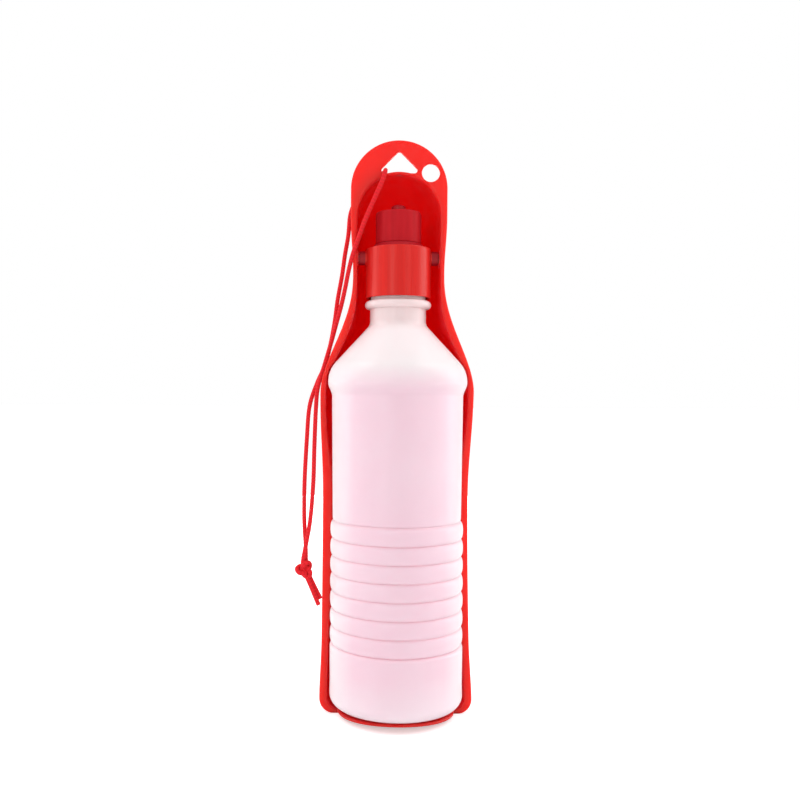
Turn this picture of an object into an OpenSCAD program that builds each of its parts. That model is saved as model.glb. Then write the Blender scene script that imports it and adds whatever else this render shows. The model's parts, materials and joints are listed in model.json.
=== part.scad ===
// Travel water bottle for a dog: a squeeze bottle that folds into its own drinking trough.
// The bottle stands upright on the trough's flat foot, with the trough behind it.
// +Z is up, -Y is the open front of the trough, and the bottle's axis is the Z axis.
// The trough swings on two pins of the screw cap, about an axis along X.

/* [Bottle] */
// Outer radius of the bottle's lower body
bottle_r = 30.5; // [27:0.5:34]
// Wall thickness of the bottle
bottle_wall = 1.0; // [0.6:0.1:1.4]
// Radius of the rounded edge round the base
base_fillet = 5; // [3:0.5:7]
// Height of the smooth band below the ribs
low_band_h = 28.4; // [20:0.2:36]
// Number of squeeze ribs
rib_count = 7; // [4:1:9]
// Distance from one rib to the next
rib_pitch = 8; // [6:0.5:9]
// Depth of the grooves between the ribs
rib_depth = 1.1; // [0.5:0.1:1.6]
// Height of the plain body above the ribs
plain_h = 57; // [40:1:70]
// How far the bottle stands out at its shoulder beyond the lower body
bulge_out = 1.5; // [0.8:0.1:2.2]
// Height of the rounded shoulder band
bulge_h = 15.8; // [12:0.2:20]
// Height of the cone between the shoulder band and the neck
shoulder_h = 16.9; // [13:0.1:24]

/* [Neck] */
// Outer radius of the neck below the support ring
neck_r = 12.85; // [12:0.05:13.2]
// Wall thickness of the neck
neck_wall = 2.25; // [1.8:0.05:3]
// Height of the plain neck below the support ring
neck_plain_h = 7.4; // [4:0.1:9]
// How far the support ring stands out from the neck
ring_out = 2.45; // [1.2:0.05:3.5]
// Thickness of the support ring
ring_t = 3.7; // [2.5:0.1:4.5]
// Height of the thread crests
thread_h = 0.8; // [0.5:0.05:1]
// Axial distance between two thread crests
thread_pitch = 4; // [3.5:0.1:4.5]

/* [Screw cap] */
// Wall thickness of the cap's skirt
cap_wall = 1.3; // [1.1:0.1:2]
// Height of the cap's skirt, up to its rounded top edge
cap_h = 22.7; // [21.5:0.1:25]
// Gap between the support ring and the cap
cap_gap = 1.3; // [0.5:0.1:2.5]
// Thickness of the cap's top
cap_top_t = 3.2; // [2:0.1:4]
// Height of the pivot axis above the cap's lower edge
pivot_up = 18.6; // [14:0.1:18.6]
// Radius of the pivot lugs on the cap's sides
lug_r = 3.2; // [2.8:0.1:4]
// How far the lugs stand out from the skirt
lug_out = 3.1; // [2.5:0.1:4]
// Radius of the pivot pins
pin_r = 2.2; // [1.6:0.1:2.5]
// Thickness of the sealing liner
liner_t = 1.2; // [0.8:0.1:2]

/* [Spout] */
// Height of the cone between the cap and the spout
collar_h = 2.2; // [1.5:0.1:3]
// Width of the cap's top around that cone
cap_edge = 2.1; // [1.8:0.1:3]
// Radius of the cap's rounded top edge
cap_round = 0.6; // [0.3:0.1:1.4]
// Outer radius of the sliding spout sleeve
sleeve_r = 10.5; // [9.8:0.1:11]
// Length of the sliding spout sleeve
sleeve_h = 14.5; // [13:0.1:18]
// Outer radius of the stem that the sleeve slides on
stem_r = 7.6; // [7.2:0.1:8]
// How far the sleeve pulls out
spout_travel = 5; // [3:0.5:5.5]
// Radius of the plug nub
nub_r = 3.5; // [2.5:0.1:4]
// How far the nub stands above the closed sleeve
nub_up = 3.9; // [2.5:0.1:5]

/* [Trough] */
// Wall thickness of the trough
tray_wall = 1.6; // [1.2:0.1:2.2]
// Thickness of the trough's flat foot
foot_t = 1.8; // [1.4:0.1:2.2]
// Thickness of the rim lip and of the head plate
lip_t = 2; // [1.6:0.1:2.6]
// How far the trough stands out beyond the bottle's lower body
side_out = 4; // [3.4:0.1:5]
// Least gap between the rim and the bottle's lower body
side_gap = 1.1; // [0.9:0.1:2]
// Gap between the bottle's shoulder and the trough, at the sides and at the back
shoulder_gap = 1.1; // [0.8:0.1:2.5]
// Least gap between the rim and the bottle where the shoulder slopes in
rim_gap = 0.8; // [0.5:0.1:1]
// Width of the rim along the body
lip_body = 4.6; // [3:0.1:5]
// Width of the rim beside the bottle's shoulder
lip_bulge = 2.6; // [2.2:0.1:3.2]
// Width of the rim at its widest, where the trough narrows above the shoulder
lip_flare = 3.8; // [2.5:0.1:5]
// Width of the rim beside the cap
lip_waist = 1.9; // [1.7:0.1:2.4]
// Extra half width of the trough at its foot
foot_spread = 0.7; // [0:0.1:2]
// Radius of the trough's lower corners
corner_r = 6.5; // [4:0.5:9]
// How far the head plate lies in front of the bottle's axis
head_front = 5; // [3:0.5:5.5]
// How far the foot's edge lies in front of the bottle's axis
foot_front = 2; // [1:0.5:4]
// How far the rim is drawn back behind the bottle's axis along the body
rim_back = 12; // [6:0.5:15]
// Squareness of the trough's section: 2 is an ellipse, and more is squarer
squareness = 3; // [2.8:0.1:3.4]

/* [Head] */
// Free height in the trough's head above the spout
head_room = 12.7; // [8:0.1:16]
// How far the head plate stands out beyond the rim beside the cap
head_out = 1.25; // [1:0.05:3]
// Height of the head plate's centre above the centre of the cavity's arch
head_up = 12.7; // [11:0.1:15]
// Radius of the corners of the triangular hanging hole
hang_corner_r = 1.3; // [1.1:0.1:1.8]
// Half the distance between the centres of its lower corners
hang_half_w = 6.9; // [6.8:0.1:8]
// Height of its upper corner's centre above the lower ones
hang_h = 7; // [5:0.1:8]
// Radius of the round hole
eye_r = 4.1; // [3:0.1:4.2]
// Distance of the round hole's centre from the middle of the head
eye_x = 14.4; // [14.2:0.1:14.8]
// Width of the plate between the cavity and the holes
web = 1.3; // [1.1:0.1:1.6]

/* [Ledge] */
// Radius of the round ledge under the bottle
ledge_r = 27; // [20:0.5:28]
// Thickness of the ledge
ledge_t = 1.3; // [1.1:0.1:2.2]
// Height of the ledge's root above the ground
ledge_clear = 1; // [0.3:0.1:1.5]

/* [Cord] */
// Diameter of the carrying cord
cord_d = 2; // [1.4:0.1:2]
// Radius of the knot
knot_r = 3.5; // [2.8:0.1:4]

/* [Clearances] */
// Radial clearance of the pivot pins, the cap on its thread, and the spout's sliding faces
fit = 0.05; // [0.02:0.01:0.1]
// Gap between the pivot lugs and the bosses inside the trough
lug_gap = 0.3; // [0.2:0.05:0.5]
// Gap between the bottle's swinging corner and the ledge
ledge_gap = 0.5; // [0.3:0.1:1]
// Gap between the spout and the trough while the trough swings
swing_gap = 2.7; // [1:0.1:4]

/* [Hidden] */
$fn = 96;

// Radii that follow from the driving sizes
bulge_r = bottle_r + bulge_out;
groove_r = bottle_r - rib_depth;
plain_r = bottle_r - 1;
plain_top_r = bottle_r - 0.35;
CONE_ANGLE = 43;
bulge_rise = 6.2;
shoulder_round = (bulge_h - bulge_rise - 0.5) / sin(CONE_ANGLE);
cone_r = bulge_r - shoulder_round * (1 - cos(CONE_ANGLE));
neck_top_r = neck_r - 0.25;
neck_bore_r = neck_r - neck_wall;
ring_r = neck_r + ring_out;
thread_r = neck_r + thread_h;
cap_bore_r = thread_r + fit;
cap_r = cap_bore_r + cap_wall;
collar_r = cap_r - cap_edge;
lug_x = cap_r + lug_out;
ridge_r = neck_top_r + 0.4;
bead_r = stem_r + 0.7;
stem_bore_r = stem_r - 1.6;

// Heights above the bottle's base, from the bottom up
rib_zone_h = rib_count * rib_pitch;
h_ribs = low_band_h + rib_zone_h;
h_notch = h_ribs + plain_h;
h_shoulder = h_notch + bulge_h;
h_neck = h_shoulder + shoulder_h;
h_ring = h_neck + neck_plain_h;
h_cap = h_ring + ring_t + cap_gap;
h_pivot = h_cap + pivot_up;

// The bottle's lowest edge swings past the ledge on this radius about the pivot
sweep_r = norm([h_pivot - base_fillet, bottle_r - base_fillet]) + base_fillet;
ledge_top_r = sweep_r + ledge_gap;

// Heights above the ground
base_z = ledge_clear + ledge_t + ledge_top_r - h_pivot;
rib_z = base_z + low_band_h;
ribs_top_z = base_z + h_ribs;
notch_z = base_z + h_notch;
shoulder_z = base_z + h_shoulder;
neck_z = base_z + h_neck;
ring_z = base_z + h_ring;
cap_z = base_z + h_cap;
pivot_z = base_z + h_pivot;
cap_top_z = cap_z + cap_h;
sleeve_z = cap_top_z + collar_h + 0.1;
sleeve_top_z = sleeve_z + sleeve_h;
nub_top_z = sleeve_top_z + nub_up;
liner_z = cap_top_z - cap_top_t - liner_t;
neck_top_z = liner_z - 0.2;
lip_h = 3;
sleeve_top_t = 1.8;
stem_top_z = sleeve_top_z - sleeve_top_t - 0.4;
bead_z = sleeve_z + lip_h + spout_travel + 0.5;

// The trough's outline
waist_in = lug_x + 0.85;
waist_x = waist_in + lip_waist;
head_r = waist_x + head_out;
body_x = bottle_r + side_out;
bulge_x = bulge_r + shoulder_gap + lip_bulge;
foot_x = body_x + foot_spread;
spout_reach = nub_top_z - pivot_z;
back_in = max(bulge_r + shoulder_gap, spout_reach + swing_gap);
back_y = back_in + tray_wall;
arch_z = pivot_z + spout_reach + head_room - waist_in;
head_z = arch_z + head_up;
dome_z = pivot_z + 1;
waist_z = cap_z + 11;
bulge_top_z = notch_z + 1.2;
bulge_low_z = notch_z - 5;
body_top_z = ribs_top_z + 12;
rim_low_z = ribs_top_z + 6;
rim_high_z = cap_z - 3;
foot_top_z = rib_z;
hang_z = arch_z + waist_in + web + hang_corner_r - 0.5;
eye_z = arch_z + sqrt(pow(waist_in + web + eye_r + 0.25, 2) - eye_x * eye_x);

ledge_root = 4;

// The cord's two halves, from the hanging hole down through the knot to the cut ends
front_route = [
    [-6.4, -4, 248.9], [-6.4, -5.6, 248.9], [-6.8, -6.8, 247.4], [-8, -6.6, 243.5], [-10.4, -6.4, 238],
    [-13.2, -6.3, 231.6], [-16, -6.3, 224.8], [-18.6, -6.3, 217.4], [-21, -6.2, 210.6], [-22.9, -5.2, 203],
    [-24.5, -3.2, 195], [-26.2, -0.8, 187.6], [-28.3, 1.2, 180], [-30.8, 2.6, 170.8], [-33.8, 3.5, 160.6],
    [-36.9, 4.8, 150], [-37.8, 4.8, 140], [-38.4, 4.8, 122], [-38.8, 4.8, 105], [-40.1, 4.7, 88],
    [-42, 4.3, 76.4], [-43.4, 4.5, 68], [-42.6, 4.3, 63.6], [-40.5, 4.2, 59.1], [-35.9, 4.2, 48.3]];
back_route = [
    [-6.4, -4, 248.9], [-6.4, -2.4, 248.9], [-7.8, -1.4, 248.4], [-12.8, -1.5, 245.5], [-16.4, -1.4, 242.2],
    [-19.2, -1, 238.1], [-21.2, -0.4, 233.2], [-22.5, 0.4, 228.6], [-23.2, 1, 220.2], [-24.7, 1.6, 211.2],
    [-26, 2.2, 201.6], [-27.9, 3, 191], [-29.3, 4, 180.4], [-31.3, 5.6, 169.8], [-33.7, 6.8, 160.4],
    [-37.4, 7.6, 152], [-40.9, 7.6, 141], [-42.1, 7.2, 125], [-43, 7, 105], [-43, 6.9, 88],
    [-42.3, 6.7, 76.4], [-42, 6.5, 68], [-41.4, 6.2, 63.9], [-39.4, 6, 59.5], [-35.1, 6, 50.9]];
knot_at = [-42.6, 5.3, 64.6];

// Steps along the trough, across its section and round its head
BODY_STEPS = 34;
SECTION_STEPS = 16;
HEAD_STEPS = 14;
HEAD_END = 88;

function ease(u) = let(v = min(max(u, 0), 1)) v * v * (3 - 2 * v);
function between(a, b, u) = a + (b - a) * ease(u);

// Half width of the trough over its rim, before the corners are rounded
function rim_x(z) =
    z < foot_top_z ? between(foot_x, body_x, (z - corner_r) / (foot_top_z - corner_r)) :
    z < bulge_low_z ? between(body_x, bulge_x, (z - body_top_z) / (bulge_low_z - body_top_z)) :
    z < waist_z ? between(waist_x, bulge_x, pow(min(1, (waist_z - z) / (waist_z - bulge_top_z)), 1.2)) :
    between(waist_x, head_r, (z - waist_z) / (arch_z - waist_z));

// Width of the rim
function rim_w(z) =
    let(mid = (waist_z + bulge_top_z) / 2, half = (waist_z - bulge_top_z) / 2)
    z < mid - half ? between(lip_body, lip_bulge, (z - body_top_z) / (bulge_low_z - body_top_z)) :
    z < mid ? between(lip_bulge, lip_flare, (z - mid + half) / half) :
    between(lip_flare, lip_waist, (z - mid) / half);

// Radius of the bottle over its rounded shoulder, from its widest band up to the cone
function shoulder_r(z) =
    let(h = min(max(z - notch_z - bulge_rise - 0.5, 0), shoulder_round * sin(CONE_ANGLE)))
    z < shoulder_z ? bulge_r - shoulder_round + sqrt(shoulder_round * shoulder_round - h * h) : 0;

// Half width of the bottle's lower body where the rim lies at height z
function body_half(z) = sqrt(bottle_r * bottle_r - pow(max(0, rim_y(z)), 2));

// Half width of the cavity
function cavity_x(z) =
    z < notch_z ? max(rim_x(z) - rim_w(z), body_half(z) + side_gap) :
    z < waist_z ? max(rim_x(z) - rim_w(z), shoulder_r(z) + rim_gap) : waist_in;

// The rim's place from front to back
function rim_y(z) =
    z < rim_low_z ? -foot_front + (rim_back + foot_front) * sin(90 * max(z, 0) / rim_low_z) :
    between(rim_back, -head_front, (z - rim_low_z) / (rim_high_z - rim_low_z));

// Inset of a corner of radius r at height h above the trough's end
function corner(h, r) = h < r ? r - sqrt(r * r - (r - h) * (r - h)) : 0;

// Share of the trough's depth that is left at height z of the dome that ends at top
function dome(z, top) = z < dome_z ? 1 : pow(max(0, 1 - pow((z - dome_z) / (top - dome_z), 2.2)), 1 / 2.2);

// One side-to-side arc of the section: half width x, from front y to back b, at height z
function arc(x, y, b, z) = [for (i = [0:SECTION_STEPS])
    let(a = 180 * i / SECTION_STEPS, c = cos(a), s = sin(a))
    [-x * sign(c) * pow(abs(c), 2 / squareness), y + (b - y) * pow(abs(s), 2 / squareness), z]];

function backwards(p) = [for (i = [len(p) - 1:-1:0]) p[i]];

// A closed ring of the shell: the rim at (rx, rz), the wall at (wx, wz) and the cavity at (cx, cz)
function ring(rx, rz, wx, wz, wb, cx, cz, cb) =
    let(ry = rim_y(rz), wy = rim_y(wz), cy = rim_y(cz))
    concat([[-rx, ry, rz], [-rx, ry + lip_t, rz]],
           arc(wx, wy + lip_t, wb, wz),
           [[rx, ry + lip_t, rz], [rx, ry, rz]],
           backwards(arc(cx, cy, cb, cz)));

// A ring at height z below the head. The cavity starts at the foot's upper side.
function body_ring(z) =
    let(cz = z < foot_top_z ? foot_t + z * (1 - foot_t / foot_top_z) : z,
        out = corner(z, corner_r),
        cut = corner(cz - foot_t, corner_r - tray_wall),
        wall_top = arch_z + waist_in + web,
        cavity_top = arch_z + waist_in)
    ring(rim_x(z) - out, z,
         cavity_x(z) + tray_wall - out, z, rim_y(z) + (back_y - out - rim_y(z)) * dome(z, wall_top),
         cavity_x(cz) - cut, cz, rim_y(cz) + (back_in - cut - rim_y(cz)) * dome(cz, cavity_top));

// A ring of the head, at share t of the way from its shoulder to its crown
function head_ring(t) =
    let(a = HEAD_END * t,
        straight = head_z - arch_z,
        s = t * (straight + head_r * HEAD_END * PI / 180),
        b = max(0, s - straight) / head_r * 180 / PI,
        rx = head_r * cos(b),
        rz = arch_z + min(s, straight) + head_r * sin(b),
        wall_r = waist_in + web,
        wz = arch_z + wall_r * sin(a),
        cz = arch_z + waist_in * sin(a))
    ring(rx, rz,
         wall_r * cos(a), wz, -head_front + (back_y + head_front) * dome(wz, arch_z + wall_r),
         waist_in * cos(a), cz, -head_front + (back_in + head_front) * dome(cz, arch_z + waist_in));

// Bottle: one turned shell, open at the neck
module bottle() color([0.96, 0.90, 0.92])
    rotate_extrude()
        difference() {
            bottle_outline();
            bottle_inside();
        }

function rib_r(z) = bottle_r - rib_depth * pow(abs(cos(180 * (z - rib_z) / rib_pitch)), 6);

module bottle_outline() {
    polygon(concat(
        [[0, base_z]],
        [for (a = [0:15:90]) [bottle_r - base_fillet + base_fillet * sin(a), base_z + base_fillet * (1 - cos(a))]],
        [[bottle_r, rib_z - 1.2]],
        [for (i = [0:8 * rib_count]) let(z = rib_z + i * rib_pitch / 8) [rib_r(z), z]],
        [[plain_r, ribs_top_z + 1.2], [plain_top_r, notch_z]],
        [for (h = [1:1:bulge_rise]) [between(plain_top_r, bulge_r, h / bulge_rise), notch_z + h]],
        [for (a = [0:CONE_ANGLE / 6:CONE_ANGLE])
            [bulge_r - shoulder_round * (1 - cos(a)), notch_z + bulge_rise + 0.5 + shoulder_round * sin(a)]],
        [[neck_r + 0.9, neck_z - 0.9], [neck_r + 0.25, neck_z], [neck_r, neck_z + 0.8]],
        [[neck_r, ring_z + ring_t / 2], [neck_top_r, ring_z + ring_t], [neck_top_r, neck_top_z], [0, neck_top_z]]));
    translate([ring_r - ring_t / 2, ring_z + ring_t / 2]) circle(r = ring_t / 2);
    translate([neck_r - 2, ring_z]) square([ring_r - ring_t / 2 - neck_r + 2, ring_t]);
    for (i = [0:2]) thread_ring(cap_z + 5 + i * thread_pitch, thread_r, neck_top_r - 1);
}

// One crest of the thread, as a plain ring from radius a out to radius b
module thread_ring(z, b, a) polygon([[a, z - 0.8], [b, z - 0.4], [b, z + 0.4], [a, z + 0.8]]);

module bottle_inside() {
    t = bottle_wall;
    polygon([[0, base_z + t], [bottle_r - base_fillet, base_z + t], [groove_r - t, base_z + base_fillet],
             [groove_r - t, ribs_top_z], [plain_r - t, ribs_top_z + 1.2], [plain_top_r - t, notch_z],
             [bulge_r - t - 0.3, notch_z + bulge_rise + 1], [cone_r - t, shoulder_z - 0.6], [neck_bore_r, neck_z - 0.6],
             [neck_bore_r, neck_top_z + 1], [0, neck_top_z + 1]]);
}

// Screw cap: skirt, pivot lugs and pins, collar, stem and plug nub in one moulded piece
module screw_cap() color([0.86, 0.12, 0.10]) {
    difference() {
        union() {
            rotate_extrude() cap_outline();
            for (side = [-1, 1]) pivot_lug(side);
        }
        translate([0, 0, cap_z - 1]) cylinder(r = cap_bore_r, h = liner_z + liner_t - cap_z + 1);
        translate([0, 0, liner_z]) cylinder(r = stem_bore_r, h = sleeve_top_z - liner_z);
    }
    rotate_extrude() {
        nub_outline();
        for (i = [0:2]) thread_ridge(cap_z + 5 + (i + 0.5) * thread_pitch);
    }
    for (a = [90:120:330]) rotate([0, 0, a])
        translate([nub_r - 0.5, -0.6, cap_top_z - cap_top_t]) cube([stem_bore_r - nub_r + 1, 1.2, 4]);
}

module cap_outline() polygon(concat(
    [[0, cap_z], [cap_r, cap_z]],
    [for (a = [0:15:90]) [cap_r - cap_round * (1 - cos(a)), cap_top_z - cap_round * (1 - sin(a))]],
    [[collar_r, cap_top_z], [sleeve_r, cap_top_z + collar_h], [stem_r, cap_top_z + collar_h],
     [stem_r, bead_z], [bead_r, bead_z + 0.6], [bead_r, bead_z + 1.6], [stem_r, bead_z + 2.4],
     [stem_r, stem_top_z], [0, stem_top_z]]));

module nub_outline() polygon(concat(
    [[0, cap_top_z - cap_top_t], [nub_r, cap_top_z - cap_top_t]],
    [for (a = [0:15:90]) [nub_r * (0.3 + 0.7 * cos(a)), nub_top_z - 2.2 * (1 - sin(a))]],
    [[0, nub_top_z]]));

// One inner crest of the cap, between two crests of the neck's thread
module thread_ridge(z) polygon([[cap_bore_r + 0.4, z - 0.8], [ridge_r, z - 0.4], [ridge_r, z + 0.4],
                                [cap_bore_r + 0.4, z + 0.8]]);

// A pivot lug with its pin, on the side given as -1 or 1
module pivot_lug(side) translate([0, 0, pivot_z]) rotate([0, 90 * side, 0]) {
    cylinder(r = lug_r, h = lug_x);
    cylinder(r = pin_r, h = waist_x - 0.1);
}

// Sealing liner between the cap and the neck
module cap_liner() color([0.95, 0.95, 0.93])
    translate([0, 0, liner_z]) difference() {
        cylinder(r = cap_bore_r, h = liner_t);
        translate([0, 0, -1]) cylinder(r = stem_bore_r, h = liner_t + 2);
    }

// Sliding spout sleeve: closed on the nub when it is down
module spout_sleeve() color([0.72, 0.10, 0.14])
    rotate_extrude() difference() {
        polygon(concat(
            [[0, sleeve_z], [sleeve_r, sleeve_z]],
            [for (a = [0:15:90]) [sleeve_r - 1.1 * (1 - cos(a)), sleeve_top_z - 1.1 * (1 - sin(a))]],
            [[0, sleeve_top_z]]));
        translate([0, sleeve_z - 1]) square([stem_r + fit, sleeve_h]);
        translate([0, sleeve_z + lip_h]) square([bead_r + fit, sleeve_h - lip_h - sleeve_top_t]);
        translate([0, sleeve_z]) square([nub_r + fit, sleeve_h + 1]);
    }

// Trough: shell with rim, head plate, foot, ledge and pivot bosses in one moulded piece
module tray() color([0.93, 0.16, 0.12])
    difference() {
        union() {
            tray_shell();
            tray_ledge();
            for (side = [-1, 1]) pivot_boss(side);
        }
        translate([-waist_x - 2, 0, pivot_z]) rotate([0, 90, 0]) cylinder(r = pin_r + fit, h = 2 * waist_x + 4);
        translate([0, -head_front - 1, 0]) {
            hanging_hole();
            translate([eye_x, 0, eye_z]) rotate([-90, 0, 0]) cylinder(r = eye_r, h = lip_t + 1.5);
        }
    }

module tray_shell() {
    rings = concat(
        [for (a = [0:22.5:90]) body_ring(corner_r * (1 - cos(a)))],
        [for (i = [1:BODY_STEPS]) body_ring(corner_r + (arch_z - corner_r) * i / BODY_STEPS)],
        [for (i = [1:HEAD_STEPS]) head_ring(i / HEAD_STEPS)]);
    m = len(rings[0]);
    n = len(rings);
    last = (n - 1) * m;
    k = SECTION_STEPS;
    cavity = k + 5;
    sides = [for (j = [0:n - 2], i = [0:m - 1], half = [0, 1])
        let(a = j * m + i, b = j * m + (i + 1) % m)
        half == 0 ? [a, b, a + m] : [b, b + m, a + m]];
    // Underside, cavity floor, and the foot's front edge
    foot_faces = [[for (i = [k + 4:-1:0]) i], [for (i = [m - 1:-1:cavity]) i], [0, m - 1, cavity, k + 4]];
    // Wall's crown, cavity's crown, and the plate's front, top and back at the middle of the head
    head_faces = [[for (i = [2:k + 2]) last + i], [for (i = [cavity:m - 1]) last + i],
        [last, last + k + 4, last + cavity, last + m - 1], [last, last + 1, last + k + 3, last + k + 4],
        [last + 1, last + 2, last + k + 2, last + k + 3]];
    polyhedron(points = [for (r = rings, p = r) p], faces = concat(sides, foot_faces, head_faces));
}

// Ledge under the bottle, curved about the pivot axis so that the bottle's base swings past it
module tray_ledge() intersection() {
    cylinder(r = ledge_r, h = base_z + base_fillet);
    translate([-ledge_r, -ledge_r, 0]) cube([2 * ledge_r, ledge_r + ledge_root, base_z + base_fillet]);
    translate([-body_x, 0, pivot_z]) rotate([0, 90, 0]) difference() {
        cylinder(r = ledge_top_r + ledge_t, h = 2 * body_x, $fn = 200);
        translate([0, 0, -1]) cylinder(r = ledge_top_r, h = 2 * body_x + 2, $fn = 200);
    }
}

module pivot_boss(side)
    translate([side * (lug_x + lug_gap), 0, pivot_z]) rotate([0, 90 * side, 0])
        cylinder(r = pin_r + 2, h = waist_x + 0.2 - lug_x - lug_gap);

// Triangular hanging hole with round corners. Its lower edge follows the cavity's arch.
module hanging_hole() translate([0, lip_t + 1.5, 0]) rotate([90, 0, 0]) linear_extrude(lip_t + 1.5)
    difference() {
        round_polygon([[-hang_half_w, hang_z], [hang_half_w, hang_z], [0, hang_z + hang_h]], hang_corner_r);
        translate([0, arch_z]) circle(r = waist_in + web + 0.15);
    }

// A polygon, given anticlockwise, grown by r with round corners
module round_polygon(points, r) {
    polygon(points);
    for (i = [0:len(points) - 1]) {
        a = points[i];
        b = points[(i + 1) % len(points)];
        out = [b[1] - a[1], a[0] - b[0]] * r / norm(b - a);
        translate(a) circle(r = r);
        polygon([a, a + out, b + out, b]);
    }
}

// A point of the smooth curve through p between its points i and i + 1
function smooth_point(p, i, u) = let(
    a = p[max(i - 1, 0)], b = p[i], c = p[i + 1], d = p[min(i + 2, len(p) - 1)])
    0.5 * (2 * b + u * (c - a) + u * u * (2 * a - 5 * b + 4 * c - d) + u * u * u * (3 * b - a - 3 * c + d));

// The curve through p, with a middle point added between each two of its points
function smooth_route(p) = concat([for (i = [0:len(p) - 2], u = [0, 0.5]) smooth_point(p, i, u)], [p[len(p) - 1]]);

// Octagonal tube of diameter d along p. No part of a route runs along X.
module tube(p, d) {
    m = 8;
    n = len(p);
    points = [for (i = [0:n - 1])
        let(along = p[min(i + 1, n - 1)] - p[max(i - 1, 0)],
            side = cross(along, [1, 0, 0]) / norm(cross(along, [1, 0, 0])),
            up = cross(along, side) / norm(along))
        for (a = [0:360 / m:359]) p[i] + d / 2 * (cos(a) * side + sin(a) * up)];
    faces = concat(
        [[for (i = [m - 1:-1:0]) i]],
        [for (j = [0:n - 2], i = [0:m - 1]) let(a = j * m + i, b = j * m + (i + 1) % m) [a, b, b + m]],
        [for (j = [0:n - 2], i = [0:m - 1]) let(a = j * m + i, b = j * m + (i + 1) % m) [a, b + m, a + m]],
        [[for (i = [0:m - 1]) (n - 1) * m + i]]);
    polyhedron(points = points, faces = faces);
}

// Half of the looped cord that hangs over the front of the head plate, down to its cut end
module cord_front_strand() color([0.85, 0.10, 0.12]) tube(smooth_route(front_route), cord_d);

// Half of the cord that hangs behind the head plate, down to its cut end
module cord_back_strand() color([0.85, 0.10, 0.12]) tube(smooth_route(back_route), cord_d);

// Overhand knot that ties both halves: two round turns about a core
module cord_knot() color([0.85, 0.10, 0.12]) translate(knot_at) {
    sphere(r = knot_r - cord_d / 3, $fn = 48);
    for (tilt = [-25, 35]) rotate([tilt, tilt / 2, 0]) rotate_extrude($fn = 48)
        translate([knot_r - cord_d / 2, 0]) circle(d = cord_d, $fn = 24);
}

bottle();
screw_cap();
cap_liner();
spout_sleeve();
tray();
cord_front_strand();
cord_back_strand();
cord_knot();
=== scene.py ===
"""Travel water bottle for a dog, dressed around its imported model, in a plain studio.

Lengths are in millimetres and become metres where a mesh is made. The lights are placed in metres.
"""
import json
from math import atan2, cos, exp, pi, radians, sin, sqrt

import bmesh
import bpy
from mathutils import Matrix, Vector


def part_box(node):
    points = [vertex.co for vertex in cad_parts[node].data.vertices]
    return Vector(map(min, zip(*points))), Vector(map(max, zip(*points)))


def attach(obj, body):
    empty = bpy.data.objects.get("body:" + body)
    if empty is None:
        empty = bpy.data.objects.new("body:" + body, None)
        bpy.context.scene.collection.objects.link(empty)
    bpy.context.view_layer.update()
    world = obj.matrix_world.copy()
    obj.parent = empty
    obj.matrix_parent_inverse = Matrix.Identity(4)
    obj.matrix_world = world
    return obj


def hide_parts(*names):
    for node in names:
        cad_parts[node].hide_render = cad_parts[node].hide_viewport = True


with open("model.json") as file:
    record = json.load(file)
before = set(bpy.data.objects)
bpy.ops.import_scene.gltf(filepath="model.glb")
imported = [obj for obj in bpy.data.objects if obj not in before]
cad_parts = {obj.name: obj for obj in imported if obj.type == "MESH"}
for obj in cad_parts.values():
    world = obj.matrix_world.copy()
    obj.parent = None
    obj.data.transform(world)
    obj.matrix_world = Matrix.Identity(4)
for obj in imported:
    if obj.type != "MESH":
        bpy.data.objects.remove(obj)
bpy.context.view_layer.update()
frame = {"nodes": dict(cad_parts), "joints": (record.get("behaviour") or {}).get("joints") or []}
MM = 0.001


# ---------------------------------------------------------------- sizes

def box(node):
    """Lowest and highest corner of a node of the frame, in millimetres."""
    return [Vector(corner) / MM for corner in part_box(node)]


def joint_height(name):
    joint = next(j for j in frame["joints"] if j["name"] == name)
    return joint["pos_m"][2] / MM


bottle_low, bottle_high = box("bottle")
cap_low, cap_high = box("screw_cap")
liner_high = box("cap_liner")[1]
sleeve_low, sleeve_high = box("spout_sleeve")
tray_low, tray_high = box("tray")

# Clearance of sliding and turning fits
FIT = 0.05
# Points of a mesh nearer than this are merged
MERGE = 0.002

# Bottle
BASE_Z = bottle_low.z
NECK_TOP_Z = bottle_high.z
BULGE_R = bottle_high.x
BOTTLE_R = BULGE_R - 1.5
BOTTLE_WALL = 1.0
BASE_FILLET = 5
BASE_PUSH = 2.2
BASE_PUSH_R = 21
RIB_COUNT = 7
RIB_PITCH = 8
RIB_DEPTH = 1.1
PLAIN_R = BOTTLE_R - 1
PLAIN_TOP_R = BOTTLE_R - 0.35
BULGE_RISE = 6.2
BULGE_STRAIGHT = 0.5
SHOULDER_RISE = 15.8
CONE_ANGLE = radians(43)
RIB_Z = BASE_Z + 28.4
RIBS_TOP_Z = RIB_Z + RIB_COUNT * RIB_PITCH
PLAIN_Z = RIBS_TOP_Z + 1.4
NOTCH_Z = RIBS_TOP_Z + 57
SHOULDER_Z = NOTCH_Z + SHOULDER_RISE
SHOULDER_ROUND = (SHOULDER_RISE - BULGE_RISE - BULGE_STRAIGHT) / sin(CONE_ANGLE)
NECK_R = 12.85
NECK_WALL = 2.25
NECK_Z = SHOULDER_Z + 16.9
RING_R = NECK_R + 2.45
RING_T = 3.7
RING_Z = NECK_Z + 7.4

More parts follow.
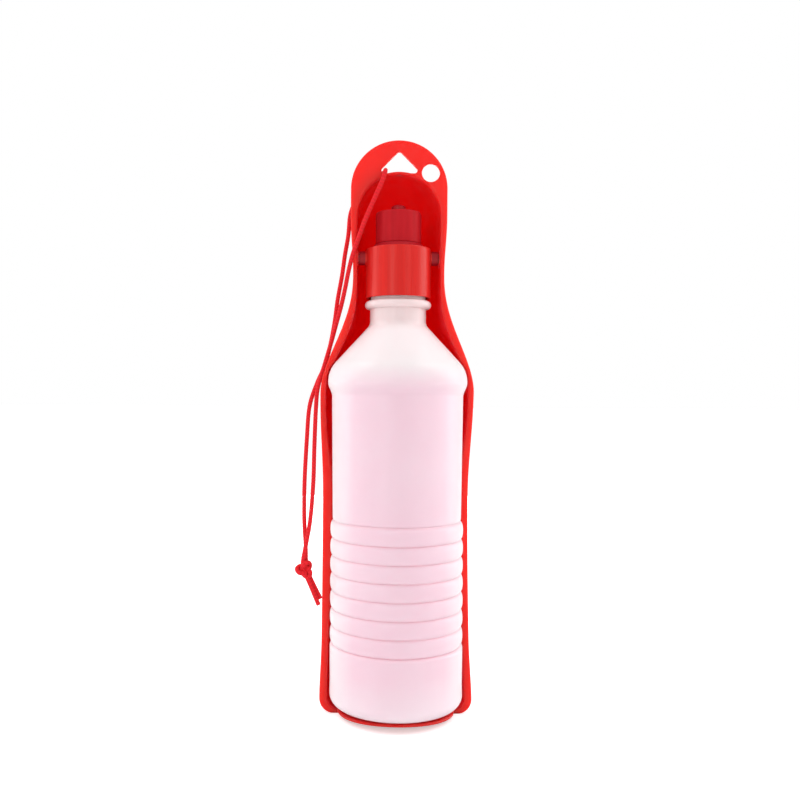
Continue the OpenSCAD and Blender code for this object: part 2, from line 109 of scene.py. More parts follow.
# Screw cap and spout
CAP_Z = cap_low.z
CAP_BORE_R = liner_high.x
CAP_R = CAP_BORE_R + 1.3
CAP_TOP_Z = CAP_Z + 22.7
CAP_TOP_T = 3.2
COLLAR_R = CAP_R - 2.1
CAP_ROUND = 0.6
THREAD_COUNT = 3
THREAD_PITCH = 4
THREAD_Z = CAP_Z + 5
NUB_TOP_Z = cap_high.z
NUB_R = 3.5
PIN_END = cap_high.x
PIN_R = 2.2
LUG_R = 3.2
LUG_X = CAP_R + 3.1
PIVOT_Z = joint_height("trough_swing")
SLEEVE_R = sleeve_high.x
SLEEVE_Z = sleeve_low.z
SLEEVE_TOP_Z = sleeve_high.z
STEM_R = 7.6
BEAD_R = STEM_R + 0.7
STEM_BORE_R = STEM_R - 1.6
STEM_TOP_Z = SLEEVE_TOP_Z - 2.2
BEAD_Z = SLEEVE_Z + 8.5

# Trough
TRAY_WALL = 1.6
FOOT_T = 1.8
LIP_T = 2
LIP_BODY = 4.6
LIP_BULGE = 2.6
LIP_FLARE = 3.8
LIP_WAIST = 1.9
RIM_GAP = 0.8
SIDE_GAP = 1.1
FOOT_SPREAD = 0.7
CORNER_R = 6.5
HEAD_FRONT = 5
FOOT_FRONT = 2
RIM_BACK = 12
SQUARENESS = 3
DOME_POWER = 2.2
FLARE_POWER = 1.2
BOSS_WALL = 2
WEB = 1.3
BODY_X = BOTTLE_R + 4
BULGE_X = tray_high.x
FOOT_X = BODY_X + FOOT_SPREAD
BACK_Y = tray_high.y
BACK_IN = BACK_Y - TRAY_WALL
WAIST_IN = LUG_X + 0.85
WAIST_X = WAIST_IN + LIP_WAIST
HEAD_R = WAIST_X + 1.25
HEAD_Z = tray_high.z - HEAD_R
ARCH_Z = HEAD_Z - 12.7
DOME_Z = PIVOT_Z + 1
WAIST_Z = CAP_Z + 11
WALL_TOP_Z = ARCH_Z + WAIST_IN + WEB
CAVITY_TOP_Z = ARCH_Z + WAIST_IN
BULGE_TOP_Z = NOTCH_Z + 1.2
BULGE_LOW_Z = NOTCH_Z - 5
BODY_TOP_Z = RIBS_TOP_Z + 12
RIM_LOW_Z = RIBS_TOP_Z + 6
RIM_HIGH_Z = CAP_Z - 3
FOOT_TOP_Z = RIB_Z
LEDGE_R = -tray_low.y
LEDGE_T = 1.3
LEDGE_CLEAR = 1
LEDGE_TOP_R = PIVOT_Z - LEDGE_CLEAR - LEDGE_T
LEDGE_ROOT = 4

# Holes in the head plate
TRIANGLE_CORNER_R = 1.3
TRIANGLE_HALF_W = 6.9
TRIANGLE_H = 7
TRIANGLE_Z = WALL_TOP_Z + TRIANGLE_CORNER_R - 0.5
EYE_R = 4.1
EYE_X = 14.4
EYE_Z = ARCH_Z + sqrt((WAIST_IN + WEB + EYE_R + 0.25) ** 2 - EYE_X ** 2)

# Cord
CORD_R = 1
KNOT_AT = Vector((-42.6, 5.3, 64.6))
FRONT_ROUTE = [
    (-6.4, -4, 248.9), (-6.4, -5.6, 248.9), (-6.8, -6.8, 247.4), (-8, -6.6, 243.5), (-10.4, -6.4, 238),
    (-13.2, -6.3, 231.6), (-16, -6.3, 224.8), (-18.6, -6.3, 217.4), (-21, -6.2, 210.6), (-22.9, -5.2, 203),
    (-24.5, -3.2, 195), (-26.2, -0.8, 187.6), (-28.3, 1.2, 180), (-30.8, 2.6, 170.8), (-33.8, 3.5, 160.6),
    (-36.9, 4.8, 150), (-37.8, 4.8, 140), (-38.4, 4.8, 122), (-38.8, 4.8, 105), (-40.1, 4.7, 88),
    (-42, 4.3, 76.4), (-43.4, 4.5, 68), (-42.6, 4.3, 63.6), (-40.5, 4.2, 59.1), (-35.9, 4.2, 48.3)]
BACK_ROUTE = [
    (-6.4, -4, 248.9), (-6.4, -2.4, 248.9), (-7.8, -1.4, 248.4), (-12.8, -1.5, 245.5), (-16.4, -1.4, 242.2),
    (-19.2, -1, 238.1), (-21.2, -0.4, 233.2), (-22.5, 0.4, 228.6), (-23.2, 1, 220.2), (-24.7, 1.6, 211.2),
    (-26, 2.2, 201.6), (-27.9, 3, 191), (-29.3, 4, 180.4), (-31.3, 5.6, 169.8), (-33.7, 6.8, 160.4),
    (-37.4, 7.6, 152), (-40.9, 7.6, 141), (-42.1, 7.2, 125), (-43, 7, 105), (-43, 6.9, 88),
    (-42.3, 6.7, 76.4), (-42, 6.5, 68), (-41.4, 6.2, 63.9), (-39.4, 6, 59.5), (-35.1, 6, 50.9)]


# ---------------------------------------------------------------- camera

def make_camera():
    """The photograph's viewpoint: level, a little left of the object and a little above its middle."""
    eye = Vector((-21, -404, 143.5))
    focal_px, width_px = 874.3, 800
    optical_x_px, horizon_px = 351.9, 401.2
    lean = radians(0.39)
    data = bpy.data.cameras.new("camera")
    data.sensor_width = 36
    data.lens = data.sensor_width * focal_px / width_px
    data.shift_x = (width_px / 2 - optical_x_px) / width_px
    data.shift_y = (horizon_px - width_px / 2) / width_px
    data.clip_start = 0.01
    data.clip_end = 20
    camera = bpy.data.objects.new("camera", data)
    camera.location = eye * MM
    camera.rotation_euler = (radians(90), -lean, 0)
    bpy.context.scene.collection.objects.link(camera)
    bpy.context.scene.camera = camera


# ---------------------------------------------------------------- materials

class Shader:
    """A material's Principled shader with the nodes that feed it."""

    def __init__(self, name, **values):
        self.material = bpy.data.materials.new(name)
        self.material.use_nodes = True
        self.nodes = self.material.node_tree.nodes
        self.links = self.material.node_tree.links
        self.bsdf = self.nodes["Principled BSDF"]
        for socket, value in values.items():
            self.bsdf.inputs[socket.replace("_", " ")].default_value = value
        self.place = self.nodes.new("ShaderNodeTexCoord").outputs["Object"]

    def stretched(self, scale):
        """Object coordinates, in metres, multiplied by a scale for each axis."""
        node = self.nodes.new("ShaderNodeMapping")
        node.inputs["Scale"].default_value = scale
        self.links.new(self.place, node.inputs["Vector"])
        return node.outputs["Vector"]

    def noise(self, scale, detail=3, place=None):
        node = self.nodes.new("ShaderNodeTexNoise")
        node.inputs["Scale"].default_value = scale
        node.inputs["Detail"].default_value = detail
        self.links.new(place or self.place, node.inputs["Vector"])
        return node.outputs["Fac"]

    def attribute(self, name):
        node = self.nodes.new("ShaderNodeAttribute")
        node.attribute_name = name
        return node.outputs["Fac"]

    def ranged(self, value, low, high, start=0.3, end=0.7):
        """The value between start and end, carried over to low and high."""
        node = self.nodes.new("ShaderNodeMapRange")
        for socket, number in (("From Min", start), ("From Max", end), ("To Min", low), ("To Max", high)):
            node.inputs[socket].default_value = number
        self.links.new(value, node.inputs["Value"])
        return node.outputs["Result"]

    def between_mm(self, value, start, end, low=0, high=1):
        """A length in metres between start and end, in millimetres, carried over to low and high."""
        return self.ranged(value, low, high, start * MM, end * MM)

    def axis(self, name):
        """One of the object's own coordinates, in metres: "X", "Y" or "Z"."""
        node = self.nodes.new("ShaderNodeSeparateXYZ")
        self.links.new(self.place, node.inputs["Vector"])
        return node.outputs[name]

    def size_of(self, value):
        """The value without its sign."""
        node = self.nodes.new("ShaderNodeMath")
        node.operation = "ABSOLUTE"
        self.links.new(value, node.inputs[0])
        return node.outputs["Value"]

    def mixed(self, share, first, second):
        """A colour between two colours, each given as numbers or as a socket."""
        node = self.nodes.new("ShaderNodeMix")
        node.data_type = "RGBA"
        self.links.new(share, node.inputs["Factor"])
        for socket, colour in ((node.inputs[6], first), (node.inputs[7], second)):
            if isinstance(colour, tuple):
                socket.default_value = (*colour, 1)
            else:
                self.links.new(colour, socket)
        return node.outputs[2]

    def colour(self, socket):
        self.links.new(socket, self.bsdf.inputs["Base Color"])

    def roughness(self, socket):
        self.links.new(socket, self.bsdf.inputs["Roughness"])

    def bump(self, *layers):
        """Raises the surface by each (height socket, depth in mm) in turn."""
        normal = None
        for height, depth in layers:
            node = self.nodes.new("ShaderNodeBump")
            node.inputs["Distance"].default_value = depth * MM
            self.links.new(height, node.inputs["Height"])
            if normal:
                self.links.new(normal, node.inputs["Normal"])
            normal = node.outputs["Normal"]
        self.links.new(normal, self.bsdf.inputs["Normal"])


def tray_material():
    """Bright red moulded plastic, a little lighter along the rim's rounded outer edge, which is a painted
    highlight, and inside the trough, which is painted light.
    """
    shader = Shader("tray_red", Subsurface_Weight=1.0, Subsurface_Scale=0.008, IOR=1.49,
                    Specular_IOR_Level=0.3, Specular_Tint=(1.0, 0.8, 0.5, 1.0))
    shader.bsdf.inputs["Subsurface Radius"].default_value = (1.0, 0.05, 0.05)
    red, light_red = (0.69, 0.021, 0.023), (0.74, 0.024, 0.026)
    painted_light_inside_red, painted_highlight_red = (0.95, 0.042, 0.058), (0.90, 0.030, 0.028)
    body = shader.mixed(shader.ranged(shader.noise(38, 4), 0, 1), red, light_red)
    # Painted light: the inside of the trough is lighter, fading out towards the head.
    body = shader.mixed(shader.attribute("inside"), body, painted_light_inside_red)
    # Painted highlight: the rim's rounded outer edge is a lighter red.
    shader.colour(shader.mixed(shader.attribute("edge"), body, painted_highlight_red))
    shader.roughness(shader.ranged(shader.noise(260, 5), 0.30, 0.42))
    shader.bump((shader.noise(900, 3), 0.012), (shader.noise(60, 2), 0.05))
    return shader.material


def cap_material():
    """Red plastic with fine upright flow marks. The collar, stem, nub and pivot lugs are a deeper red,
    which is painted shade, darkest on the lugs.
    """
    shader = Shader("cap_red", Subsurface_Weight=0.08, Subsurface_Scale=0.001, IOR=1.49,
                    Specular_IOR_Level=0.3, Specular_Tint=(1.0, 0.85, 0.75, 1.0))
    shader.bsdf.inputs["Subsurface Radius"].default_value = (1.0, 0.1, 0.08)
    streaks = shader.noise(1, 4, shader.stretched((420, 420, 14)))
    fine = shader.noise(1, 3, shader.stretched((2100, 2100, 60)))
    skirt_red, light_red = (0.60, 0.012, 0.011), (0.72, 0.018, 0.014)
    stem_shade_red, lug_shade_red = (0.42, 0.008, 0.016), (0.34, 0.007, 0.016)
    skirt = shader.mixed(shader.ranged(streaks, 0, 1), skirt_red, light_red)
    # Painted shade: the collar, stem and nub above the skirt are a deeper red.
    above = shader.between_mm(shader.axis("Z"), CAP_TOP_Z + 0.2, CAP_TOP_Z + 0.5)
    beside = shader.between_mm(shader.size_of(shader.axis("X")), CAP_R + 0.1, CAP_R + 0.4)
    upper = shader.mixed(above, skirt, stem_shade_red)
    # Painted shade: the pivot lugs and pins beside the cap are the darkest red.
    shader.colour(shader.mixed(beside, upper, lug_shade_red))
    shader.roughness(shader.ranged(fine, 0.26, 0.38))
    shader.bump((streaks, 0.05), (fine, 0.012))
    return shader.material


def spout_material():
    """Deeper red, satin plastic of the sliding sleeve."""
    shader = Shader("spout_red", Subsurface_Weight=0.1, Subsurface_Scale=0.001, IOR=1.49,
                    Specular_IOR_Level=0.1)
    shader.bsdf.inputs["Subsurface Radius"].default_value = (1.0, 0.15, 0.15)
    streaks = shader.noise(1, 3, shader.stretched((520, 520, 30)))
    red, light_red = (0.46, 0.008, 0.014), (0.53, 0.011, 0.018)
    shader.colour(shader.mixed(shader.ranged(streaks, 0, 1), red, light_red))
    shader.roughness(shader.ranged(shader.noise(420, 4), 0.42, 0.56))
    shader.bump((streaks, 0.03), (shader.noise(1500, 2), 0.008))
    return shader.material


def bottle_material():
    """Milky soft plastic with painted pink light from the red trough close behind it, less of it at the
    sides and on the cone, painted light from the floor at the heel and painted shade at the neck.
    """
    shader = Shader("milky_bottle", Subsurface_Weight=1.0, Subsurface_Scale=0.0012, IOR=1.46)
    shader.bsdf.inputs["Subsurface Radius"].default_value = (1.0, 0.9, 0.92)
    pink, side_pink, groove_shade_pink = (0.905, 0.628, 0.713), (0.95, 0.84, 0.86), (0.98, 0.55, 0.62)
    cone_milk, heel_floor_light_milk, neck_shade_milk = (0.93, 0.80, 0.81), (0.97, 0.84, 0.87), (0.82, 0.66, 0.66)
    white = (1.0, 1.0, 1.0)
    # Painted light: pink from the red trough, paler towards the sides.
    side = shader.between_mm(shader.size_of(shader.axis("X")), 0.65 * BOTTLE_R, 1.05 * BOTTLE_R)
    body = shader.mixed(side, pink, side_pink)
    # Less of the painted pink light on the cone.
    cone = shader.between_mm(shader.axis("Z"), SHOULDER_Z - 13, SHOULDER_Z - 2)
    body = shader.mixed(cone, body, cone_milk)
    # Painted light from the floor: the heel is whiter.
    heel = shader.between_mm(shader.axis("Z"), BASE_Z + 2, BASE_Z + 20, 0.5, 0)
    body = shader.mixed(heel, body, heel_floor_light_milk)
    # Painted shade under the cap: the neck is greyer.
    neck = shader.between_mm(shader.axis("Z"), NECK_Z - 3, NECK_Z + 2)
    body = shader.mixed(neck, body, neck_shade_milk)
    cloud = shader.ranged(shader.noise(30, 4), 0, 0.12)
    body = shader.mixed(cloud, body, white)
    # Painted shade: a deeper pink along the bottom of each groove.
    shader.colour(shader.mixed(shader.attribute("groove"), body, groove_shade_pink))
    shader.roughness(shader.ranged(shader.noise(220, 4), 0.32, 0.42))
    shader.bump((shader.noise(700, 3), 0.003), (shader.noise(45, 3), 0.012))
    return shader.material


def liner_material():
    """Soft white foam with fine closed cells."""
    shader = Shader("liner_white", IOR=1.45)
    cells = shader.noise(3200, 2)
    white, light_white = (0.86, 0.86, 0.84), (0.93, 0.93, 0.91)
    shader.colour(shader.mixed(shader.ranged(cells, 0, 1), white, light_white))
    shader.roughness(shader.ranged(cells, 0.6, 0.8))
    shader.bump((cells, 0.03))
    return shader.material


def cord_material():
    """Round braid: lighter on top of each plait and darker between the plaits, which is painted light and
    shade, with fine fibres.
    """
    shader = Shader("cord_red", Sheen_Weight=0.08, Sheen_Roughness=0.4, IOR=1.45,
                    Specular_IOR_Level=0.2)
    fibres = shader.noise(5200, 2)
    plait_shade_red, light_red, fibre_red = (0.56, 0.006, 0.012), (0.93, 0.016, 0.026), (0.90, 0.045, 0.055)
    # Painted light and shade of the braid, from the weave share.
    plait = shader.mixed(shader.attribute("weave"), plait_shade_red, light_red)
    shader.colour(shader.mixed(shader.ranged(fibres, 0, 0.35), plait, fibre_red))
    shader.roughness(shader.ranged(fibres, 0.6, 0.85))
    shader.bump((fibres, 0.04))
    return shader.material


def floor_material():
    """Matt white floor that looks a little brighter to the camera than the lights make it."""
    shader = Shader("floor_white", Roughness=0.6, Specular_IOR_Level=0.1)
    shader.bsdf.inputs["Emission Color"].default_value = (1, 1, 1, 1)
    glow = 0.45
    rays = shader.nodes.new("ShaderNodeLightPath").outputs["Is Camera Ray"]
    shader.links.new(shader.ranged(rays, 0, glow, 0, 1), shader.bsdf.inputs["Emission Strength"])
    white, light_white = (0.90, 0.90, 0.90), (0.92, 0.92, 0.92)
    shader.colour(shader.mixed(shader.ranged(shader.noise(3, 2), 0, 1), white, light_white))
    return shader.material


# ---------------------------------------------------------------- mesh tools

def new_mesh(name, points, faces):
    """A mesh object from points in millimetres, with its faces turned outwards."""
    mesh = bpy.data.meshes.new(name)
    mesh.from_pydata([Vector(p) * MM for p in points], [], faces)
    work = bmesh.new()
    work.from_mesh(mesh)
    bmesh.ops.remove_doubles(work, verts=work.verts, dist=MERGE * MM)
    bmesh.ops.recalc_face_normals(work, faces=work.faces)
    work.to_mesh(mesh)
    work.free()
    piece = bpy.data.objects.new(name, mesh)
    bpy.context.scene.collection.objects.link(piece)
    return piece


def combine(piece, tools, operation):
    """Joins the tools to the piece, or cuts them out of it, and removes them."""
    for tool in tools:
        modifier = piece.modifiers.new("combine", "BOOLEAN")
        modifier.object = tool
        modifier.operation = operation
        modifier.solver = "EXACT"
    shape = piece.evaluated_get(bpy.context.evaluated_depsgraph_get())
    piece.data = bpy.data.meshes.new_from_object(shape)
    piece.modifiers.clear()
    for tool in tools:
        bpy.data.objects.remove(tool)


def smooth_shade(piece, angle=38):
    """Smooth faces, sharp where two meet at more than the angle, and flat faces kept flat."""
    piece.data.shade_smooth()
    piece.data.set_sharp_from_angle(angle=radians(angle))
    modifier = piece.modifiers.new("flat faces", "WEIGHTED_NORMAL")
    modifier.keep_sharp = True


def dress_liner(material):
    """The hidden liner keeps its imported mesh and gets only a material."""
    liner = frame["nodes"]["cap_liner"]
    liner.data.materials.clear()
    liner.data.materials.append(material)


def dress(piece, body, slot, material, *nodes):
    """Gives a piece its material and body, and lets it stand for CAD nodes."""
    piece.data.materials.clear()
    piece.data.materials.append(material)
    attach(piece, body)
    if nodes:
        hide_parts(*nodes)
    return piece


def turned(name, profile, steps=128, closed=True, offset=None):
    """A piece turned about the Z axis from a profile of (radius, height) points."""
    points, faces = [], []
    rows = len(profile)
    for i in range(steps):
        a = 2 * pi * i / steps
        for r, z in profile:
            grown = r + (offset(a, z) if offset and r > 0.01 else 0)
            points.append((grown * cos(a), grown * sin(a), z))
    for i in range(steps):
        j = (i + 1) % steps
        for k in range(rows if closed else rows - 1):
            m = (k + 1) % rows
            faces.append((i * rows + k, j * rows + k, j * rows + m, i * rows + m))
    return new_mesh(name, points, faces)


def ring_stack(rings, closed_ends=True):
    """Faces that join rings of equally many points, one after another, and close both ends."""
    count = len(rings[0])
    faces = []
    for j in range(len(rings) - 1):
        for i in range(count):
            k = (i + 1) % count
            faces.append((j * count + i, j * count + k, (j + 1) * count + k, (j + 1) * count + i))
    if closed_ends:
        faces.append(tuple(range(count)))
        faces.append(tuple((len(rings) - 1) * count + i for i in range(count)))
    return faces


def rounded(before, corner, after, radius, steps=4):
    """Points of a rounded corner between the points before and after it."""
    corner = Vector(corner)
    start = corner + (Vector(before) - corner).normalized() * radius
    end = corner + (Vector(after) - corner).normalized() * radius
    points = []
    for i in range(steps + 1):
        t = i / steps
        points.append(start * (1 - t) ** 2 + corner * 2 * t * (1 - t) + end * t * t)
    return points


def round_profile(corners, steps=5):
    """A profile of (radius, height, rounding) corners with each corner rounded."""
    points = []
    for i, (r, z, size) in enumerate(corners):
        if size == 0:
            points.append((r, z))
            continue
        before = corners[i - 1]
        after = corners[(i + 1) % len(corners)]
        curve = rounded((before[0], before[1], 0), (r, z, 0), (after[0], after[1], 0), size, steps)
        points.extend((p.x, p.y) for p in curve)
    return points


def ease(u):
    v = min(max(u, 0), 1)
    return v * v * (3 - 2 * v)


def between(a, b, u):
    return a + (b - a) * ease(u)


# ---------------------------------------------------------------- cord

def smooth_route(route, step):
    """The smooth curve through a route's points, with points about a step apart."""
    points = [Vector(p) for p in route]
    fine = []
    for i in range(len(points) - 1):
        a, b = points[max(i - 1, 0)], points[i]
        c, d = points[i + 1], points[min(i + 2, len(points) - 1)]
        count = max(2, round((c - b).length / step))
        for j in range(count):
            u = j / count
            fine.append(0.5 * (2 * b + u * (c - a) + u * u * (2 * a - 5 * b + 4 * c - d)
                               + u ** 3 * (3 * b - a - 3 * c + d)))
    fine.append(points[-1])
    return fine


def loop_faces(points, sides):
    """Faces that join a tube's last ring of points to its first, turned to the nearest match."""
    last = len(points) - sides
    shift = min(range(sides), key=lambda s: (points[last] - points[s]).length)
    faces = []
    for i in range(sides):
        k = (i + 1) % sides
        faces.append((last + i, last + k, (k + shift) % sides, (i + shift) % sides))
    return faces


def braided_tube(name, path, radius, closed=False, sides=20):
    """A round braid along a path: plaits that cross in diamonds, raised where they lie on top."""
    plaits, pitch, height = 4, 3.2 * radius, 0.11 * radius
    count = len(path)
    points, weave = [], []
    side = Vector((1, 0, 0))
    run = 0
    for j, p in enumerate(path):
        after = path[(j + 1) % count] if closed else path[min(j + 1, count - 1)]
        before = path[j - 1] if closed else path[max(j - 1, 0)]
        along = (after - before).normalized()
        side = (side - along * side.dot(along)).normalized()
        up = along.cross(side)
        if j:
            run += (p - path[j - 1]).length
        turn = 2 * pi * run / pitch
        for i in range(sides):
            a = 2 * pi * i / sides
            over = 0.5 + 0.5 * sin(plaits * a + turn) * sin(plaits * a - turn)
            r = radius + height * (over - 0.6)
            points.append(p + r * (cos(a) * side + sin(a) * up))
            # The weave share also sets the cord's painted light and shade.
            weave.append(over)
    rings = [points[j * sides:(j + 1) * sides] for j in range(count)]
    faces = ring_stack(rings, closed_ends=not closed)
    if closed:
        faces += loop_faces(points, sides)
    mesh = bpy.data.meshes.new(name)
    mesh.from_pydata([p * MM for p in points], [], faces)
    mesh.attributes.new("weave", "FLOAT", "POINT").data.foreach_set("value", weave)
    mesh.shade_smooth()
    return mesh


def add_piece(name, mesh):
    piece = bpy.data.objects.new(name, mesh)
    bpy.context.scene.collection.objects.link(piece)
    return piece


def make_knot(material):
    """Doubled overhand knot: two loops of cord side by side in a tight three-lobed knot."""
    size, gap, steps = 0.98, 0.9, 150
    spread_share, depth = 0.28, 1.35
    lie = Vector((0.15, -1, 0.1)).normalized()
    across = Vector((0.9, 0.1, 0.5))
    across = (across - lie * across.dot(lie)).normalized()
    upward = lie.cross(across)
    meshes = []
    for half in (-1, 1):
        path = []
        for i in range(steps):
            t = 2 * pi * i / steps
            x, y, z = sin(t) + 2 * sin(2 * t), cos(t) - 2 * cos(2 * t), -sin(3 * t)
            spread = 1 + half * gap * spread_share
            path.append(KNOT_AT + size * (x * spread * across + y * spread * upward)
                        + lie * (size * depth * z + half * gap))
        meshes.append(braided_tube("cord_knot_detail", path, CORD_R, closed=True, sides=16))
    knot = add_piece("cord_knot_detail", meshes[0])
    second = add_piece("second", meshes[1])
    work = bmesh.new()
    work.from_mesh(knot.data)
    work.from_mesh(second.data)
    work.to_mesh(knot.data)
    work.free()
    bpy.data.objects.remove(second)
    return dress(knot, "trough", "cord_red", material, "cord_knot")


def make_cords(material):
    """The knot and the two strands that run from the hanging hole through it to their cut ends."""
    knot = make_knot(material)
    step = 0.25
    for name, route in (("cord_front_strand", FRONT_ROUTE), ("cord_back_strand", BACK_ROUTE)):
        path = smooth_route(route, step)
        strand = add_piece(name + "_braid", braided_tube(name + "_braid", path, CORD_R))
        dress(strand, "trough", "cord_red", material, name)


# ---------------------------------------------------------------- trough

def rim_x(z):
    """Half width of the trough over its rim, before the corners are rounded."""
    if z < FOOT_TOP_Z:
        return between(FOOT_X, BODY_X, (z - CORNER_R) / (FOOT_TOP_Z - CORNER_R))
    if z < BULGE_LOW_Z:
        return between(BODY_X, BULGE_X, (z - BODY_TOP_Z) / (BULGE_LOW_Z - BODY_TOP_Z))
    if z < WAIST_Z:
        return between(WAIST_X, BULGE_X, min(1, (WAIST_Z - z) / (WAIST_Z - BULGE_TOP_Z)) ** FLARE_POWER)
    return between(WAIST_X, HEAD_R, (z - WAIST_Z) / (ARCH_Z - WAIST_Z))


def rim_w(z):
    """Width of the rim."""
    mid = (WAIST_Z + BULGE_TOP_Z) / 2
    half = (WAIST_Z - BULGE_TOP_Z) / 2
    if z < mid - half:
        return between(LIP_BODY, LIP_BULGE, (z - BODY_TOP_Z) / (BULGE_LOW_Z - BODY_TOP_Z))
    if z < mid:
        return between(LIP_BULGE, LIP_FLARE, (z - mid + half) / half)
    return between(LIP_FLARE, LIP_WAIST, (z - mid) / half)


def shoulder_r(z):
    """Radius of the bottle over its rounded shoulder."""
    if z >= SHOULDER_Z:
        return 0
    h = min(max(z - NOTCH_Z - BULGE_RISE - BULGE_STRAIGHT, 0), SHOULDER_ROUND * sin(CONE_ANGLE))
    return BULGE_R - SHOULDER_ROUND + sqrt(SHOULDER_ROUND ** 2 - h * h)


def cavity_x(z):
    """Half width of the cavity."""
    if z < NOTCH_Z:
        bottle_x = sqrt(BOTTLE_R ** 2 - max(0, rim_y(z)) ** 2)
        return max(rim_x(z) - rim_w(z), bottle_x + SIDE_GAP)
    if z < WAIST_Z:
        return max(rim_x(z) - rim_w(z), shoulder_r(z) + RIM_GAP)
    return WAIST_IN


def rim_y(z):
    """The rim's place from front to back."""
    if z < RIM_LOW_Z:
        return -FOOT_FRONT + (RIM_BACK + FOOT_FRONT) * sin(pi / 2 * max(z, 0) / RIM_LOW_Z)
    return between(RIM_BACK, -HEAD_FRONT, (z - RIM_LOW_Z) / (RIM_HIGH_Z - RIM_LOW_Z))


def corner_inset(h, r):
    """Inset of a corner of radius r at height h above the trough's end."""
    return r - sqrt(r * r - (r - h) ** 2) if h < r else 0


def dome(z, top):
    """Share of the trough's depth that is left at height z of the dome that ends at top."""
    if z < DOME_Z:
        return 1
    return max(0, 1 - ((z - DOME_Z) / (top - DOME_Z)) ** DOME_POWER) ** (1 / DOME_POWER)


def quarter(x, front, back, z, start):
    """Quarter of the trough's section at height z, from a distance behind its front to its back."""
    steps = 26
    depth = max(back - front, 0.05)
    first = atan2(min(start, 0.6 * depth) / depth, 1)
    points = []
    for i in range(steps + 1):
        a = first + (pi / 2 - first) * i / steps
        r = (max(cos(a), 0) ** SQUARENESS + sin(a) ** SQUARENESS) ** (-1 / SQUARENESS)
        points.append(Vector((x * r * cos(a) if i < steps else 0, front + depth * r * sin(a), z)))
    return points


def half_ring(rx, rz, wx, wz, wall_back, cx, cz, cavity_back, cavity_round):
    """Right half of the shell's section: wall, lip, rim and cavity, with the edges rounded.

    The rim is at (rx, rz), the wall at (wx, wz) and the cavity at (cx, cz).
    """
    ry, wy, cy = rim_y(rz), rim_y(wz), rim_y(cz)
    rim = Vector((rx, ry, rz))
    lip = Vector((rx, ry + LIP_T, rz))
    root = Vector((wx, wy + LIP_T, wz))
    edge = Vector((cx, cy, cz))
    behind = Vector((0, 1, 0))
    lip_round = min(0.55, 0.45 * (lip - root).length)
    rim_round = 0.7
    edge_round = min(cavity_round, 0.9 * ((rim - edge).length - rim_round))
    wall = quarter(wx, wy + LIP_T, wall_back, wz, lip_round)
    cavity = quarter(cx, cy, cavity_back, cz, edge_round)
    return (wall[::-1][:-1]
            + rounded(root + behind, root, lip, lip_round)
            + rounded(root, lip, rim, lip_round)
            + rounded(lip, rim, edge, rim_round)
            + rounded(rim, edge, edge + behind, edge_round)
            + cavity[1:])


def cavity_rounding(z):
    """Radius of the edge between rim and cavity, which grows towards the head."""
    return between(0.7, 1.1, (z - WAIST_Z + 20) / 30)


def body_half(z):
    """Half ring at height z below the head."""
    cz = FOOT_T + z * (1 - FOOT_T / FOOT_TOP_Z) if z < FOOT_TOP_Z else z
    out = corner_inset(z, CORNER_R)
    cut = corner_inset(cz - FOOT_T, CORNER_R - TRAY_WALL)
    wall_back = rim_y(z) + (BACK_Y - out - rim_y(z)) * dome(z, WALL_TOP_Z)
    cavity_back = rim_y(cz) + (BACK_IN - cut - rim_y(cz)) * dome(cz, CAVITY_TOP_Z)
    return half_ring(rim_x(z) - out, z, cavity_x(z) + TRAY_WALL - out, z, wall_back,
                     cavity_x(cz) - cut, cz, cavity_back, cavity_rounding(z))


def head_half(t):
    """Half ring of the head, at share t of the way from its shoulder to its crown."""
    end = radians(89.2)  # just short of the crown, so that no ring shrinks to a point
    a = end * t
    straight = HEAD_Z - ARCH_Z
    s = t * (straight + HEAD_R * end)
    b = max(0, s - straight) / HEAD_R
    wall_r = WAIST_IN + WEB
    wz = ARCH_Z + wall_r * sin(a)
    cz = ARCH_Z + WAIST_IN * sin(a)
    wall_back = -HEAD_FRONT + (BACK_Y + HEAD_FRONT) * dome(wz, WALL_TOP_Z)
    cavity_back = -HEAD_FRONT + (BACK_IN + HEAD_FRONT) * dome(cz, CAVITY_TOP_Z)
    return half_ring(HEAD_R * cos(b), ARCH_Z + min(s, straight) + HEAD_R * sin(b),
                     wall_r * cos(a), wz, wall_back,
                     WAIST_IN * cos(a), cz, cavity_back, between(1.1, 2.4, 1.6 * t))


def tray_shell():
    """The trough's shell: wall, rim, head plate and foot in one closed mesh."""
    corner_steps, body_steps, head_steps = 12, 120, 56
    halves = [body_half(CORNER_R * (1 - cos(pi / 2 * i / corner_steps)))
              for i in range(corner_steps + 1)]
    halves += [body_half(CORNER_R + (ARCH_Z - CORNER_R) * i / body_steps)
               for i in range(1, body_steps + 1)]
    halves += [head_half(i / head_steps) for i in range(1, head_steps + 1)]
    count = len(halves[0])
    rings = []
    for half in halves:
        mirrored = [Vector((-p.x, p.y, p.z)) for p in half[-2:0:-1]]
        rings.append(half + mirrored)
    points = [p for ring in rings for p in ring]
    faces = ring_stack(rings, closed_ends=False)
    around = len(rings[0])
    for start in (0, (len(rings) - 1) * around):
        for i in range(count - 1):
            right = (start + i, start + i + 1)
            left = (start + (around - i - 1) % around, start + (around - i) % around)
            if i == 0:
                faces.append((start, start + 1, left[0]))
            elif i == count - 2:
                faces.append((right[0], right[1], left[1]))
            else:
                faces.append((right[0], right[1], left[0], left[1]))
    return new_mesh("tray_detail", points, faces)


